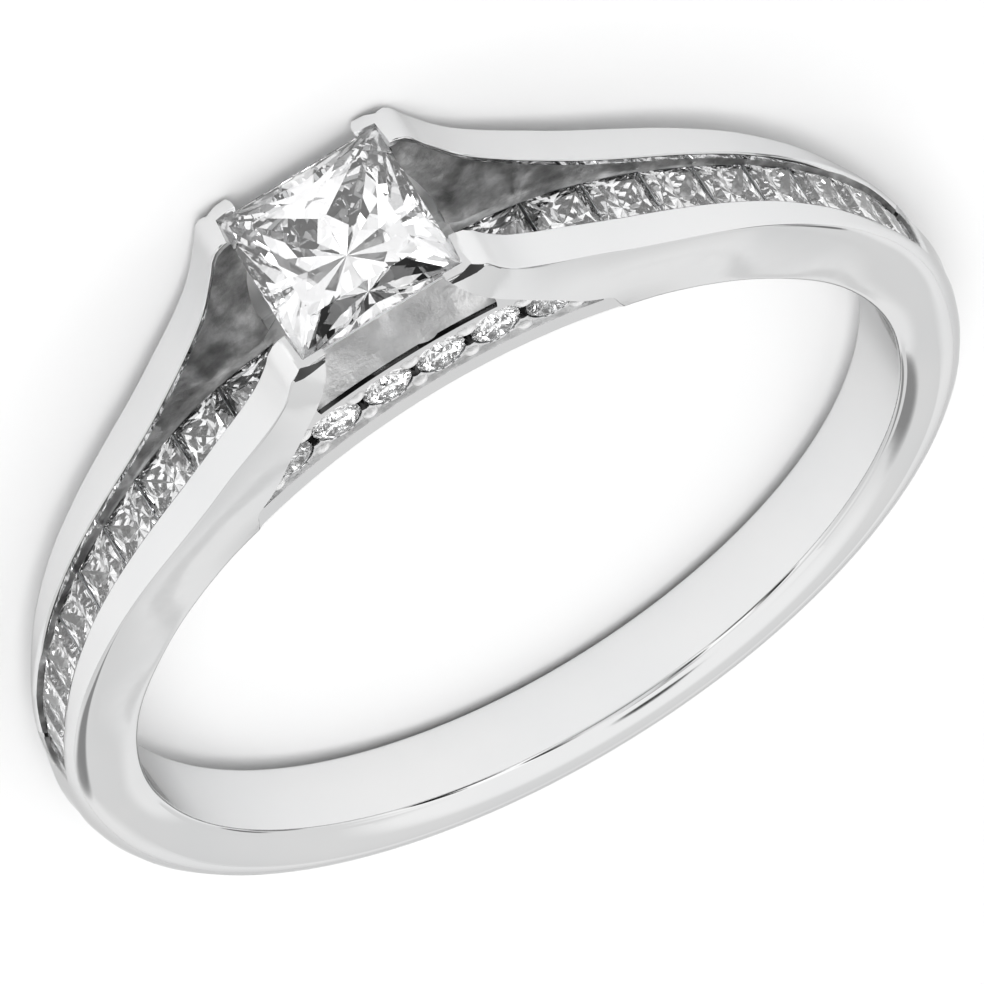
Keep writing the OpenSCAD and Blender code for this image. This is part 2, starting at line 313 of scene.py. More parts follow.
def box(name, low, high, materials=()):
    x0, y0, z0 = low
    x1, y1, z1 = high
    points = [(x, y, z) for x in (x0, x1) for y in (y0, y1) for z in (z0, z1)]
    faces = [(0, 1, 3, 2), (4, 6, 7, 5), (0, 4, 5, 1), (2, 3, 7, 6), (0, 2, 6, 4), (1, 5, 7, 3)]
    return outward(mesh_object(name, points, faces, materials))


def boolean(body, tools, operation):
    """Cuts the tools from the body, or joins them to it, and removes them."""
    for tool in tools:
        modifier = body.modifiers.new("cut", "BOOLEAN")
        modifier.operation = operation
        modifier.solver = "MANIFOLD"
        modifier.material_mode = "TRANSFER"
        modifier.object = tool
        graph = bpy.context.evaluated_depsgraph_get()
        result = bpy.data.meshes.new_from_object(body.evaluated_get(graph), depsgraph=graph)
        body.modifiers.clear()
        old = body.data
        body.data = result
        bpy.data.meshes.remove(old)
        bpy.data.objects.remove(tool)
    return body


def drop_slivers(piece, distance=0.002):
    bm = bmesh.new()
    bm.from_mesh(piece.data)
    bmesh.ops.remove_doubles(bm, verts=bm.verts, dist=distance)
    bmesh.ops.dissolve_degenerate(bm, edges=bm.edges, dist=distance / 2)
    bm.to_mesh(piece.data)
    bm.free()


def smooth_with_creases(piece, degrees):
    piece.data.shade_smooth()
    piece.data.set_sharp_from_angle(angle=math.radians(degrees))
    modifier = piece.modifiers.new("normals", "WEIGHTED_NORMAL")
    modifier.keep_sharp = True
    modifier.mode = "FACE_AREA_WITH_ANGLE"
    graph = bpy.context.evaluated_depsgraph_get()
    result = bpy.data.meshes.new_from_object(piece.evaluated_get(graph), depsgraph=graph)
    piece.modifiers.clear()
    old = piece.data
    piece.data = result
    bpy.data.meshes.remove(old)


RING_TO_FRAME = (Matrix.Scale(0.001, 4) @ Matrix.Translation((0, MID_SHIFT, REST_LIFT))
                 @ Matrix.Rotation(math.radians(-REST_TILT), 4, "X"))


def resting(piece):
    """Lays a piece down as the solids lie, in metres."""
    piece.data.transform(RING_TO_FRAME)
    piece.data.update()
    return piece


# Materials

def new_material(name):
    material = bpy.data.materials.new(name)
    material.use_nodes = True
    nodes = material.node_tree.nodes
    return material, nodes, material.node_tree.links, nodes["Principled BSDF"]


def object_point(nodes, links, scale):
    """Object coordinates with one unit to the millimetre, times a scale."""
    coordinates = nodes.new("ShaderNodeTexCoord")
    mapping = nodes.new("ShaderNodeMapping")
    mapping.inputs["Scale"].default_value = (1000 * scale,) * 3
    links.new(coordinates.outputs["Object"], mapping.inputs["Vector"])
    return mapping.outputs["Vector"]


def noise_value(nodes, links, scale, detail, roughness=0.5):
    texture = nodes.new("ShaderNodeTexNoise")
    texture.inputs["Scale"].default_value = 1.0
    texture.inputs["Detail"].default_value = detail
    texture.inputs["Roughness"].default_value = roughness
    links.new(object_point(nodes, links, scale), texture.inputs["Vector"])
    return texture.outputs["Fac"]


def ramp(nodes, links, value, stops):
    node = nodes.new("ShaderNodeValToRGB")
    while len(node.color_ramp.elements) < len(stops):
        node.color_ramp.elements.new(0.5)
    for element, (position, colour) in zip(node.color_ramp.elements, stops):
        element.position = position
        element.color = (*colour, 1) if len(colour) == 3 else colour
    links.new(value, node.inputs["Fac"])
    return node.outputs["Color"]


def grey(v):
    return (v, v, v)


# Painted shade: how dark the metal's colour turns where its surface is seen edge on
RIM_SHADE = [(0.68, grey(1.0)), (0.86, grey(0.7)), (0.96, grey(0.3))]


def polished_metal():
    material, nodes, links, shader = new_material("polished_white_metal")
    shader.inputs["Metallic"].default_value = 1.0
    tone = ramp(nodes, links, noise_value(nodes, links, 0.35, 2),
                [(0.3, (0.79, 0.795, 0.8)), (0.7, grey(0.825))])
    # Painted shade: the base colour darkens where the surface is seen edge on
    rim = nodes.new("ShaderNodeLayerWeight")
    rim.inputs["Blend"].default_value = 0.5
    shade = nodes.new("ShaderNodeVectorMath")
    shade.operation = "MULTIPLY"
    links.new(tone, shade.inputs[0])
    links.new(ramp(nodes, links, rim.outputs["Facing"], RIM_SHADE), shade.inputs[1])
    links.new(shade.outputs["Vector"], shader.inputs["Base Color"])
    shader.inputs["Specular Tint"].default_value = (*grey(0.75), 1)
    fine = ramp(nodes, links, noise_value(nodes, links, 3.0, 4, 0.6),
                [(0.35, grey(0.055)), (0.7, grey(0.11))])
    links.new(fine, shader.inputs["Roughness"])
    bump = nodes.new("ShaderNodeBump")
    bump.inputs["Strength"].default_value = 0.02
    bump.inputs["Distance"].default_value = 0.00001
    links.new(noise_value(nodes, links, 9.0, 3), bump.inputs["Height"])
    links.new(bump.outputs["Normal"], shader.inputs["Normal"])
    return material


def cast_metal(name, dark, middle, light):
    """Metal left rough as cast, between a dark and a light tone."""
    material, nodes, links, shader = new_material(name)
    shader.inputs["Metallic"].default_value = 1.0
    tone = ramp(nodes, links, noise_value(nodes, links, 1.3, 5, 0.55),
                [(0.3, grey(dark)), (0.5, grey(middle)), (0.72, grey(light))])
    links.new(tone, shader.inputs["Base Color"])
    rough = ramp(nodes, links, noise_value(nodes, links, 4.0, 4), [(0.3, grey(0.28)), (0.7, grey(0.5))])
    links.new(rough, shader.inputs["Roughness"])
    bump = nodes.new("ShaderNodeBump")
    bump.inputs["Strength"].default_value = 0.6
    bump.inputs["Distance"].default_value = 0.00006
    links.new(noise_value(nodes, links, 3.2, 6, 0.6), bump.inputs["Height"])
    links.new(bump.outputs["Normal"], shader.inputs["Normal"])
    return material


def clear_stone():
    material, nodes, links, shader = new_material("clear_stone")
    tone = ramp(nodes, links, noise_value(nodes, links, 0.6, 1),
                [(0.3, (0.985, 0.99, 1.0)), (0.7, grey(1.0))])
    links.new(tone, shader.inputs["Base Color"])
    shader.inputs["Roughness"].default_value = 0.0
    shader.inputs["IOR"].default_value = 2.42
    shader.inputs["Transmission Weight"].default_value = 1.0
    return material


def frosted_girdle():
    material, nodes, links, shader = new_material("frosted_girdle")
    shader.inputs["Base Color"].default_value = (0.9, 0.92, 0.94, 1)
    shader.inputs["IOR"].default_value = 2.42
    shader.inputs["Transmission Weight"].default_value = 0.7
    rough = ramp(nodes, links, noise_value(nodes, links, 20.0, 2), [(0.3, grey(0.35)), (0.7, grey(0.6))])
    links.new(rough, shader.inputs["Roughness"])
    return material


def painted_dark_metal():
    """Painted shade and painted dark reflections on the finest edges, the claws' facets and the pits."""
    material, nodes, links, shader = new_material("painted_dark_edge_metal")
    shader.inputs["Metallic"].default_value = 1.0
    tone = ramp(nodes, links, noise_value(nodes, links, 1.5, 2), [(0.35, grey(0.03)), (0.7, grey(0.1))])
    links.new(tone, shader.inputs["Base Color"])
    shader.inputs["Roughness"].default_value = 0.12
    return material


POLISHED = polished_metal()
CAST = cast_metal("cast_white_metal", 0.14, 0.36, 0.85)
# A lighter copy of the cast metal: painted light on the bridge's top
CAST_PAINTED_LIGHT = cast_metal("cast_metal_painted_light", 0.6, 0.82, 0.95)
# Painted shade and painted dark reflections, near black
PAINTED_DARK = painted_dark_metal()
# A near-white copy of the cast metal: painted highlight on the beads and on faces along the bridge's edges
PAINTED_HIGHLIGHT = cast_metal("painted_highlight_metal", 0.93, 0.96, 0.99)
METALS = (POLISHED, CAST, CAST_PAINTED_LIGHT, PAINTED_DARK, PAINTED_HIGHLIGHT)
IN_POLISHED, IN_CAST, IN_PAINTED_LIGHT, IN_PAINTED_DARK, IN_PAINTED_HIGHLIGHT = range(len(METALS))
STONE = clear_stone()
GIRDLE = frosted_girdle()


# The metal

def lump(x, y, z, size, amount):
    """Smooth bumps of a cast surface, the same each run."""
    return amount * noise.noise(Vector((x, y, z)) / size)


def ring_of(a, section):
    return [at(a, h, y) for h, y in section]


def valley_half(a):
    """Half of the space between the rails: ledge, sloping cast wall, polished lip and inner edge."""
    wall, floor = curve(VALLEY, 1, a), curve(VALLEY, 2, a)
    across, height = curve(CROWN, 1, a), curve(CROWN, 2, a)
    slope = min(max((abs(a) - LEDGE_START) / (LEDGE_FULL - LEDGE_START), 0.0), 1.0)
    floor -= LEDGE_DROP * slope
    foot = wall - max(0.0, wall - LEDGE_HALF) * slope
    edge = crease_height(a, wall + across)
    lip = max(floor + 0.02, edge - height - 0.1)
    half = [(floor, 0.3 * foot), (floor, 0.7 * foot), (floor, foot)]
    for u in (0.2, 0.4, 0.6, 0.8, 1.0):
        half.append((floor + (lip - floor) * u, foot + (wall - foot) * u ** 0.7))
    for t in (0, 25, 50, 75):
        s, c = math.sin(math.radians(t)), math.cos(math.radians(t))
        half.append((edge - height * (1 - s), wall + across * (1 - c)))
    half += [(edge + 0.02, wall + across * 1.1), (edge + FAR, wall + across * 1.1)]
    return half


def cast_bumps(x, y, z):
    """Coarse, middle and fine bumps together."""
    return lump(x, y, z, 0.9, 0.1) + lump(x, y, z, 0.4, 0.06) + lump(x, y, z, 0.16, 0.02)


# Places in valley_half() of the first wall point and of the lip's last point
VALLEY_FLOOR = 3
VALLEY_LIP = 8


def valley_tool():
    """Space between the rails. Its floor and its walls are rough as cast near the head."""
    angles = steps(-CHANNEL_END - 0.5, CHANNEL_END + 0.5, 0.75)
    rings = []
    for a in angles:
        ring = ring_of(a, mirrored(valley_half(a)))
        n = len(ring)
        fade = max(0.0, 1 - (abs(a) / CAST_END) ** 4)
        for i in range(n):
            k = min(i, n - 1 - i)
            x, y, z = ring[i]
            d = fade * cast_bumps(x, y, z)
            if k < VALLEY_FLOOR and abs(a) < CHANNEL_START:
                ring[i] = (x * (1 + d / 20), y * (1 + d / 20), z)
            elif VALLEY_FLOOR <= k < VALLEY_LIP - 1:
                ring[i] = (x, y, z + d)
        rings.append(ring)
    n = len(rings[0])

    # The bridge's top near the head gets painted light, and the first face of the rails' rounded inner edge
    # a painted dark reflection
    def slot_of(i, j):
        k = i if i < n // 2 else n - 2 - i
        if i == n - 1 or k < VALLEY_FLOOR - 1:
            return IN_PAINTED_LIGHT if abs(angles[j]) < CHANNEL_START else IN_POLISHED
        if k < VALLEY_LIP - 1:
            return IN_CAST
        return IN_PAINTED_DARK if k == VALLEY_LIP else IN_POLISHED

    return swept("valley", rings, materials=METALS, slot_of=slot_of)


def channel_tool(side):
    """Slot for the shoulder stones' girdles and the pocket that follows their pavilions."""
    angles = steps(CHANNEL_START, CHANNEL_END, 1.5)
    rings = []
    for a in (angles if side > 0 else -angles[::-1]):
        g, top = girdle_of(a), curve(VALLEY, 2, a)
        wide = SMALL_SIDE / 2 + STONE_GAP
        mouth = min(0.6, max(curve(VALLEY, 1, a) - 0.02, 0.57))
        half = [(g - SMALL_PAVILION - 0.1, 0.1), (g - 0.09, wide - 0.05), (g - 0.05, wide),
                (g + 0.04, wide), (g + 0.06, mouth), (top + 0.05, mouth)]
        rings.append(ring_of(a, mirrored(half)))
    return swept("channel", rings, materials=METALS, slot_of=lambda i, j: IN_CAST)


def underside_tool(face):
    """Clear space under the rails, outside one face of the bridge, whose edge at the hole is rounded."""
    rings = []
    for a in steps(-SPLIT_END, SPLIT_END, 0.75):
        h = curve(UNDERSIDE, 1, a)
        edge = [(min(x, h - 0.02), y) for x, y in bore_edge(BRIDGE_HALF)]
        rim = side_at(a, h, face)
        bevel = min(RIM_BEVEL, h / 2)
        section = ([(-1, BRIDGE_HALF - BORE_BEVEL)] + edge
                   + [(h, BRIDGE_HALF), (h, rim - bevel), (h + bevel, rim + 0.01), (h + bevel, BESIDE),
                      (-1, BESIDE)])
        rings.append(ring_of(a, [(x, face * y) for x, y in section]))
    # Its rounded edge at the hole gets a painted highlight
    return swept("underside", rings, materials=METALS,
                 slot_of=lambda i, j: IN_PAINTED_HIGHLIGHT if 1 <= i <= 4 else IN_POLISHED)


def window_tool():
    """Open window between the bridge's top, which has a slim bevel, and the rails."""
    rings = []
    low = BRIDGE_H + 0.1
    for a in steps(-WINDOW_HALF, WINDOW_HALF, 0.53):
        opened = math.sqrt(max(0.0, 1 - (abs(a) / WINDOW_HALF) ** 6))
        top = max(low, low + (curve(UNDERSIDE, 1, a) - 0.01 - low) * opened)
        edge = BRIDGE_H - EDGE_DROP
        half = [(BRIDGE_H, 0.35), (BRIDGE_H, 0.75), (BRIDGE_H, BRIDGE_HALF - EDGE_BEVEL),
                (edge, BRIDGE_HALF + 0.002), (edge, BESIDE), (top, BESIDE)]
        ring = ring_of(a, mirrored(half))
        n = len(ring)
        for i in (0, 1, n - 2, n - 1):
            x, y, z = ring[i]
            scale = 1 + cast_bumps(x, y, z) / 14
            ring[i] = (x * scale, y * scale, z)
        rings.append(ring)
    # The bridge's top gets painted light, and its slim bevel a painted dark reflection
    slots = dict.fromkeys((0, 1, 9, 10, 11), IN_PAINTED_LIGHT) | {2: IN_PAINTED_DARK}
    return swept("window", rings, materials=METALS, slot_of=lambda i, j: slots.get(i, IN_POLISHED))


def flared_box(name, low_h, high_h, low_half, high_half):
    """Four-sided space that widens outwards, square to the middle of the head."""
    points = []
    for h, half in ((low_h, low_half), (high_h, high_half)):
        points += [(x * half, -FINGER_R - h, z * half) for x, z in ((1, 1), (-1, 1), (-1, -1), (1, -1))]
    faces = [(0, 1, 2, 3), (7, 6, 5, 4), (0, 4, 5, 1), (1, 5, 6, 2), (2, 6, 7, 3), (3, 7, 4, 0)]
    return outward(mesh_object(name, points, faces, METALS))


def claw_cut(corners, reach, side, face, slot):
    """Block over a plane through three points of one claw, which cuts a facet there.

    reach gives the block's outline as shares of the way from the first point to the others."""
    a, b, c = [Vector((side * x, y, face * z)) for x, y, z in corners]
    out = (b - a).cross(c - a).normalized()
    if out.dot(Vector((0, -1, face))) < 0:
        out = -out
    points = [a + u * (b - a) + v * (c - a) + k * out for k in (0, 1) for u, v in reach]
    faces = [(0, 1, 2, 3), (7, 6, 5, 4), (0, 4, 5, 1), (1, 5, 6, 2), (2, 6, 7, 3), (3, 7, 4, 0)]
    return outward(mesh_object("claw_cut", points, faces, METALS, [slot] + [IN_POLISHED] * 5))


def claw_facet(side, face):
    """Cuts the facet beside the tip of one claw, painted dark as a painted reflection."""
    return claw_cut(CLAW_FACET[face], [(1, 0), (0, 1), (-1, 1), (-1, 0)], side, face, IN_PAINTED_DARK)


def arm_end(side, face):
    """Rounds the outer corner of the end of one claw's arm."""
    r, x0, z0 = ARM_ROUND, LEG_END, ARM_SIDE
    section = [(x0 - 0.2, z0 - r), (x0, z0 - r)]
    for t in (18, 36, 54, 72):
        s, c = math.sin(math.radians(t)), math.cos(math.radians(t))
        section.append((x0 + r * (1 - c), z0 - r * (1 - s)))
    section += [(x0 + r, z0), (x0 + r, z0 + 0.2), (x0 - 0.2, z0 + 0.2)]
    low, high = -FINGER_R - HEAD_LOW_H, -FINGER_R - GIRDLE_H - 1.0
    rings = [[(side * x, y, face * z) for x, z in section] for y in (low, high)]
    return swept("arm_end", rings, materials=METALS)


def head_tools():
    low, seat, lip, girdle = HEAD_LOW_H, GIRDLE_H, STONE_SIDE / 2 - CLAW_LIP, STONE_SIDE / 2 + STONE_GAP
    outer = -FINGER_R - seat - FAR
    corners = [(side, face) for side in (1, -1) for face in (1, -1)]
    return [
        flared_box("under_stone", low, seat, CLAW_IN, CLAW_IN),
        flared_box("at_girdle", seat - 0.06, seat + 0.05, girdle, girdle),
        flared_box("over_stone", seat, seat + 1.0, lip, lip + CLAW_FLARE),
        box("between_legs", (-LEG_END, outer, -FAR), (LEG_END, -FINGER_R - low, FAR), METALS),
    ] + [cut(*c) for cut in (arm_end, claw_facet) for c in corners]


def field_tool(face):
    """Recess round the stones on one face of the bridge."""
    section = slab(FIELD_LOW_H, FIELD_TOP_H, BRIDGE_HALF - FIELD_DEPTH, BRIDGE_HALF + 0.08, face)
    rings = [ring_of(a, section) for a in steps(-FIELD_HALF, FIELD_HALF, 1.25)]
    # One face along the recess gets a painted highlight
    bottom = 0 if face > 0 else 2
    return swept("field", rings, materials=METALS,
                 slot_of=lambda i, j: IN_PAINTED_HIGHLIGHT if i == bottom else IN_POLISHED)


def face_place(angle, h, face, lift=0.0):
    """Matrix that puts a piece, drawn with +Z outwards, on one face of the bridge."""
    turn = Matrix.Rotation(math.radians(angle), 4, "Z") @ Matrix.Translation((0, -FINGER_R - h, 0))
    if face < 0:
        turn = turn @ Matrix.Rotation(math.pi, 4, "X")
    return turn @ Matrix.Translation((0, 0, BRIDGE_HALF - ROUND_SINK + lift))


def rim_place(angle, h, tilt=0.0):
    """Matrix that puts a piece, drawn with +Z outwards, on the rim of the ring."""
    return (Matrix.Rotation(math.radians(angle), 4, "Z") @ Matrix.Translation((0, -FINGER_R - h, 0))
            @ Matrix.Rotation(math.radians(90), 4, "X") @ Matrix.Rotation(math.radians(tilt), 4, "Y"))


def turned(name, profile, sides, place, materials=(), slots=None):
    """Solid of revolution about +Z from (radius, height) points, with a point or a flat at each end."""
    points, faces, face_slots = [], [], []
    for r, z in profile:
        for k in range(sides):
            t = 2 * math.pi * k / sides
            points.append(place @ Vector((r * math.cos(t), r * math.sin(t), z)))
    for j in range(len(profile) - 1):
        for k in range(sides):
            n = (k + 1) % sides
            faces.append((j * sides + k, j * sides + n, (j + 1) * sides + n, (j + 1) * sides + k))
            face_slots.append(slots[j] if slots else 0)
    faces += [tuple(range(sides)), tuple((len(profile) - 1) * sides + k for k in reversed(range(sides)))]
    face_slots += [0, 0]
    return outward(mesh_object(name, points, faces, materials, face_slots))


def round_angles():
    return [(i - (ROUND_COUNT - 1) / 2) * ROUND_STEP for i in range(ROUND_COUNT)]


def seat_tool(angle, face):
    """Seat of a bridge stone. The seats at the bridge's ends stay closed under the rails."""
    r = ROUND_D / 2 + STONE_GAP
    profile = [(0.02, -0.46 * ROUND_D), (r, -0.03), (r, 0.03)]
    if abs(angle) < SEAT_OPEN:
        profile += [(r + 0.06, 0.12), (r + 0.06, 0.4)]
    else:
        profile += [(0.6 * r, 0.2)]
    return turned("seat", profile, 32, face_place(angle, ROUND_H, face), METALS)


def grain(angle, h, face, along, across, high):
    """Bead of metal pushed up beside a stone."""
    place = (face_place(angle, h, face, ROUND_SINK - FIELD_DEPTH - 0.02)
             @ Matrix.Diagonal((along, across, high, 1)))
    profile = [(math.cos(t), math.sin(t)) for t in np.radians([-75, -45, -15, 15, 35, 55, 75, 88])]
    # The bead gets a painted highlight
    return turned("grain", profile, 16, place, METALS, [IN_PAINTED_HIGHLIGHT] * (len(profile) - 1))


def pit(angle, face):
    """Hollow between two neighbouring stones, painted dark as painted shade."""
    place = face_place(angle, ROUND_H, face) @ Matrix.Diagonal((1.0, 1.35, 1, 1))
    return turned("pit", [(0.02, -0.3), (0.16, 0.0), (0.18, 0.2)], 12, place, (PAINTED_DARK,))


def ring_metal():
    rings = [ring_of(a, shell_half(a, 1) + shell_half(a, -1)[::-1]) for a in SHELL_ANGLES]
    body = swept("ring_metal", rings, closed=True, materials=METALS)
    boolean(body, [valley_tool(), underside_tool(1), underside_tool(-1), window_tool()], "DIFFERENCE")
    boolean(body, head_tools(), "DIFFERENCE")
    boolean(body, [channel_tool(1), channel_tool(-1), field_tool(1), field_tool(-1)], "DIFFERENCE")
    between = [a + ROUND_STEP / 2 for a in round_angles()[:-1]]
    for face in (1, -1):
        boolean(body, [pit(a, face) for a in between], "DIFFERENCE")
        boolean(body, [grain(a, ROUND_H + h, face, *size) for a in between for h, *size in GRAINS], "UNION")
        boolean(body, [seat_tool(a, face) for a in round_angles()], "DIFFERENCE")
    return body


# The stones

# Square cut: half the table and half the girdle's height as shares of the side, and the place of the
# point under each side of the table as shares of the half side and of the crown's height
SQUARE_TABLE = 0.34
SQUARE_BELT = 0.012
STAR_OUT = 0.9
STAR_UP = 0.42
# Points down the middle of each pavilion side: share of the half side, share of the depth
FAN_LEVELS = [(0.86, 0.245), (0.67, 0.478), (0.45, 0.68)]
# Slim facets down the pavilion's corners: where they are widest, and how far over the sides they reach
ARM_AT = 0.62
ARM_WIDTH = 0.2
# Round cut: heights of crown, pavilion and half the girdle as shares of the width, then the table, the
# star's points and the pavilion's points as shares of the radius and of the crown or pavilion
ROUND_CROWN = 0.15
ROUND_PAVILION = 0.43
ROUND_BELT = 0.012
ROUND_TABLE = 0.56
ROUND_STAR = (0.79, 0.55)
ROUND_DEEP = (0.26, 0.77)


def square_stone(name, side, crown, pavilion, place):
    """Square cut: table, star and corner facets, girdle, and a pavilion of fans from the corners."""
    s, belt, t = side / 2, side * SQUARE_BELT, side * SQUARE_TABLE
    points, faces, slots = [], [], []

    def put(x, y, z):
        points.append(place @ Vector((x, y, z)))
        return len(points) - 1

    corners = [(1, 1), (-1, 1), (-1, -1), (1, -1)]
    table = [put(x * t, y * t, crown) for x, y in corners]
    star = []
    upper = [put(x * s, y * s, belt) for x, y in corners]
    lower = [put(x * s, y * s, -belt) for x, y in corners]
    middles, fans = [], []
    tip = put(0, 0, -pavilion)
    for k in range(4):
        (x0, y0), (x1, y1) = corners[k], corners[(k + 1) % 4]
        mx, my = (x0 + x1) / 2, (y0 + y1) / 2
        star.append(put(mx * s * STAR_OUT, my * s * STAR_OUT, crown * STAR_UP))
        middles.append(put(mx * s, my * s, -belt))
        fans.append([put(mx * s * f, my * s * f, -pavilion * d) for f, d in FAN_LEVELS])
    arms = []
    for k, (x, y) in enumerate(corners):
        ridge = Vector((x * s, y * s, -belt)).lerp(Vector((0, 0, -pavilion)), ARM_AT)
        pair = []
        for side_k in (k, (k - 1) % 4):
            (x0, y0), (x1, y1) = corners[side_k], corners[(side_k + 1) % 4]
            f, d = FAN_LEVELS[-1]
            fan_point = Vector(((x0 + x1) / 2 * s * f, (y0 + y1) / 2 * s * f, -pavilion * d))
            pair.append(put(*ridge.lerp(fan_point, ARM_WIDTH)))
        arms.append(pair)
    faces.append(tuple(table))
    slots.append(0)
    for k in range(4):
        n = (k + 1) % 4
        fan = fans[k]
        group = [
            (table[k], table[n], star[k]), (table[k], star[k], upper[k]), (table[n], upper[n], star[k]),
            (star[k], upper[n], upper[k]),
        ]
        for upper_point, lower_point in zip([middles[k]] + fan, fan):
            group += [(lower[k], upper_point, lower_point), (lower[n], lower_point, upper_point)]
        here, there = arms[k][0], arms[n][1]
        group += [(lower[k], fan[-1], here), (here, fan[-1], tip)]
        group += [(lower[n], there, fan[-1]), (there, tip, fan[-1])]
        group += [(lower[k], arms[k][0], arms[k][1]), (arms[k][0], tip, arms[k][1])]
        faces += group
        slots += [0] * len(group)
        faces.append((upper[k], upper[n], lower[n], middles[k], lower[k]))
        slots.append(1)
    return outward(mesh_object(name, points, faces, (STONE, GIRDLE), slots))


def round_stone(name, d, place):
    """Round brilliant cut with its eight-fold facets."""
    r = d / 2
    crown, pavilion, belt = ROUND_CROWN * d, ROUND_PAVILION * d, ROUND_BELT * d
    points, faces, slots = [], [], []

    def put(radius, eighth, z):
        a = math.pi / 4 * eighth
        points.append(place @ Vector((radius * math.cos(a), radius * math.sin(a), z)))
        return len(points) - 1

    (star_out, star_up), (deep_out, deep_down) = ROUND_STAR, ROUND_DEEP
    table = [put(ROUND_TABLE * r, k, crown) for k in range(8)]
    star = [put(star_out * r, k + 0.5, crown * star_up) for k in range(8)]
    upper = [put(r, k / 2, belt) for k in range(16)]
    lower = [put(r, k / 2, -belt) for k in range(16)]
    deep = [put(deep_out * r, k + 0.5, -pavilion * deep_down) for k in range(8)]
    tip = put(0, 0, -pavilion)
    faces.append(tuple(table))
    slots.append(0)
    for k in range(8):
        n = (k + 1) % 8
        u0, u1, u2 = 2 * k, 2 * k + 1, (2 * k + 2) % 16
        p = (k - 1) % 8
        group = [
            (table[k], table[n], star[k]),
            (table[k], star[k], upper[u0], star[p]),
            (star[k], upper[u1], upper[u0]), (star[k], upper[u2], upper[u1]),
            (lower[u0], lower[u1], deep[k]), (lower[u1], lower[u2], deep[k]),
            (lower[u0], deep[k], tip, deep[p]),
        ]
        faces += group
        slots += [0] * len(group)
        faces += [(upper[a], upper[b], lower[b], lower[a]) for a, b in ((u0, u1), (u1, u2))]
        slots += [1, 1]
    return outward(mesh_object(name, points, faces, (STONE, GIRDLE), slots))


# The scene's pieces

def stand_for(piece, node):
    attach(piece, "root")
    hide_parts(node)


def make_ring():
    metal = ring_metal()
    drop_slivers(metal)
    smooth_with_creases(metal, 24)
    stand_for(resting(metal), "ring_mount")
    stone = square_stone("main_stone", STONE_SIDE, STONE_CROWN, STONE_PAVILION, rim_place(0, GIRDLE_H))
    stand_for(resting(stone), "centre_stone")
    for name, side in (("left", 1), ("right", -1)):
        for i, a in enumerate(SMALL_ANGLES, 1):
            place = rim_place(side * a, girdle_of(a), side * small_tilt(a))
            stone = square_stone(f"channel_stone_{name}_{i}", *SMALL_STONE, place)
            stand_for(resting(stone), f"shoulder_stone_{name}_{i}")
    for name, face in (("front", 1), ("back", -1)):
        for i, a in enumerate(round_angles(), 1):
            stone = round_stone(f"round_stone_{name}_{i}", ROUND_D, face_place(a, ROUND_H, face))
            stand_for(resting(stone), f"bridge_stone_{name}_{i}")


# Floor, light and camera

FLOOR_HALF = 1.5


def make_floor():
    corners = [(x * FLOOR_HALF, y * FLOOR_HALF, 0) for x, y in ((-1, -1), (1, -1), (1, 1), (-1, 1))]
    floor = mesh_object("floor", corners, [(0, 1, 2, 3)])
    material, nodes, links, shader = new_material("pale_floor")
    tone = ramp(nodes, links, noise_value(nodes, links, 0.02, 2), [(0.3, grey(0.9)), (0.7, grey(0.93))])
    links.new(tone, shader.inputs["Base Color"])
    shader.inputs["Roughness"].default_value = 0.9
    shader.inputs["Specular IOR Level"].default_value = 0.1
    floor.data.materials.append(material)


def toward(azimuth, elevation):
    a, e = math.radians(azimuth), math.radians(elevation)
    return Vector((math.cos(a) * math.cos(e), math.sin(a) * math.cos(e), math.sin(e)))


# The camera that fits the photo, in the ring's own frame: the point it looks at, and its place from there
CAMERA_AIM = Vector((-0.173, -0.289, -0.569))
CAMERA_AZIMUTH = -89.046
CAMERA_ELEVATION = 26.667
CAMERA_DISTANCE = 171.412
CAMERA_ROLL = 148.066
FOCAL_PIXELS = 9000.0
FRAME_PIXELS = 984.0


def make_camera():
    """Camera with the photo's place and roll, laid down with the ring."""
    data = bpy.data.cameras.new("camera")
    data.sensor_fit = "HORIZONTAL"
    data.sensor_width = 36.0
    data.lens = data.sensor_width * FOCAL_PIXELS / FRAME_PIXELS
    data.clip_start = 0.01
    data.clip_end = 10.0
    camera = bpy.data.objects.new("camera", data)
    bpy.context.scene.collection.objects.link(camera)
    out = toward(CAMERA_AZIMUTH, CAMERA_ELEVATION)
    level = out.to_track_quat("Z", "Y").to_matrix().to_4x4()
    rolled = level @ Matrix.Rotation(math.radians(CAMERA_ROLL), 4, "Z")
    place = RING_TO_FRAME @ Matrix.Translation(CAMERA_AIM + CAMERA_DISTANCE * out) @ rolled
    camera.matrix_world = Matrix.LocRotScale(place.to_translation(), place.to_quaternion(), None)
    bpy.context.scene.camera = camera


# Soft grey cards round the ring: azimuth, elevation, half width, half height, where the soft edge
# ends in shares of these, brightness
CARDS = [
    (-89, 44, 55, 30, 1.3, 1.5),
    (-62, 50, 5, 18, 1.2, 0.03),
    (-116, 50, 5, 18, 1.2, 0.03),
    (-30, 30, 5, 18, 1.2, 0.03),
    (-148, 30, 5, 18, 1.2, 0.03),
    (-89, 62, 16, 4, 1.2, 0.05),
    (-89, 29.5, 20, 10, 1.3, 0.08),
    (-44, 16, 13, 9, 1.4, 0.05),
    (-138, 16, 13, 9, 1.4, 0.05),
    (52, 20, 7, 14, 1.6, 0.36),
    (42, 82, 7, 4, 1.4, 0.05),
    (148, 20, 6, 8, 1.4, 0.25),
    (166, 6, 8, 6, 1.5, 0.25),
    (88, 15, 4, 1.3, 1.6, 0.8),
    (12, 14, 20, 16, 1.5, 0.9),
    (115, 76, 34, 16, 1.5, 1.25),
    (95, 5, 42, 11, 1.5, 1.25),
]
SURROUND = 0.83


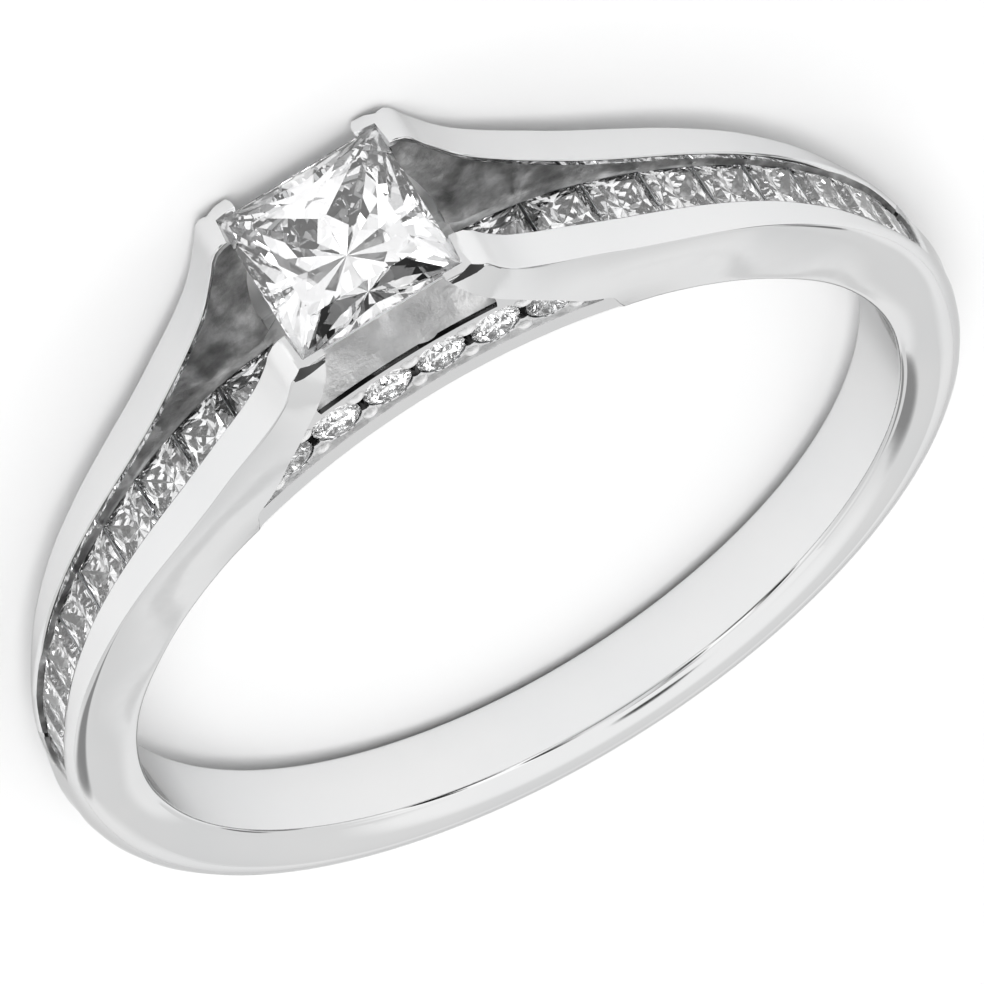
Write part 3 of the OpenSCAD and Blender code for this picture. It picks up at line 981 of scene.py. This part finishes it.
def make_world():
    """Even white surround with soft grey cards."""
    world = bpy.data.worlds.new("studio")
    bpy.context.scene.world = world
    world.use_nodes = True
    nodes, links = world.node_tree.nodes, world.node_tree.links
    coordinates = nodes.new("ShaderNodeTexCoord")
    direction = coordinates.outputs["Generated"]

    def along(vector):
        dot = nodes.new("ShaderNodeVectorMath")
        dot.operation = "DOT_PRODUCT"
        links.new(direction, dot.inputs[0])
        dot.inputs[1].default_value = vector
        return dot.outputs["Value"]

    def joined(operation, first, second):
        node = nodes.new("ShaderNodeMath")
        node.operation = operation
        for socket, value in zip(node.inputs, (first, second)):
            if isinstance(value, float):
                socket.default_value = value
            else:
                links.new(value, socket)
        return node.outputs["Value"]

    light = None
    for azimuth, elevation, width, height, soft, level in CARDS:
        middle = toward(azimuth, elevation)
        across = toward(azimuth + 90, 0) / math.sin(math.radians(width))
        upward = toward(azimuth, elevation + 90) / math.sin(math.radians(height))
        x, y = along(across), along(upward)
        reach = joined("ADD", joined("MULTIPLY", x, x), joined("MULTIPLY", y, y))
        behind = joined("LESS_THAN", along(middle), 0.0)
        reach = joined("ADD", reach, joined("MULTIPLY", behind, 100.0))
        card = nodes.new("ShaderNodeMapRange")
        card.interpolation_type = "SMOOTHSTEP"
        links.new(reach, card.inputs["Value"])
        card.inputs["From Min"].default_value = 1 / soft
        card.inputs["From Max"].default_value = soft * soft
        card.inputs["To Min"].default_value = level
        card.inputs["To Max"].default_value = 1.0
        shade = card.outputs["Result"]
        light = shade if light is None else joined("MULTIPLY", light, shade)
    links.new(light, nodes["Background"].inputs["Color"])
    nodes["Background"].inputs["Strength"].default_value = SURROUND


def area_light(name, place, size, power):
    data = bpy.data.lights.new(name, "AREA")
    data.shape = "DISK"
    data.size = size
    data.energy = power
    light = bpy.data.objects.new(name, data)
    bpy.context.scene.collection.objects.link(light)
    light.location = place
    light.rotation_euler = (-Vector(place)).to_track_quat("-Z", "Y").to_euler()
    light.visible_glossy = False


def make_light():
    make_world()
    area_light("key", (0.1, -0.4, 0.45), 0.45, 2.0)
    scene = bpy.context.scene
    scene.view_settings.view_transform = "Standard"
    scene.view_settings.look = "None"
    scene.cycles.max_bounces = 20
    scene.cycles.transmission_bounces = 20
    scene.cycles.glossy_bounces = 8


make_ring()
make_floor()
make_camera()
make_light()
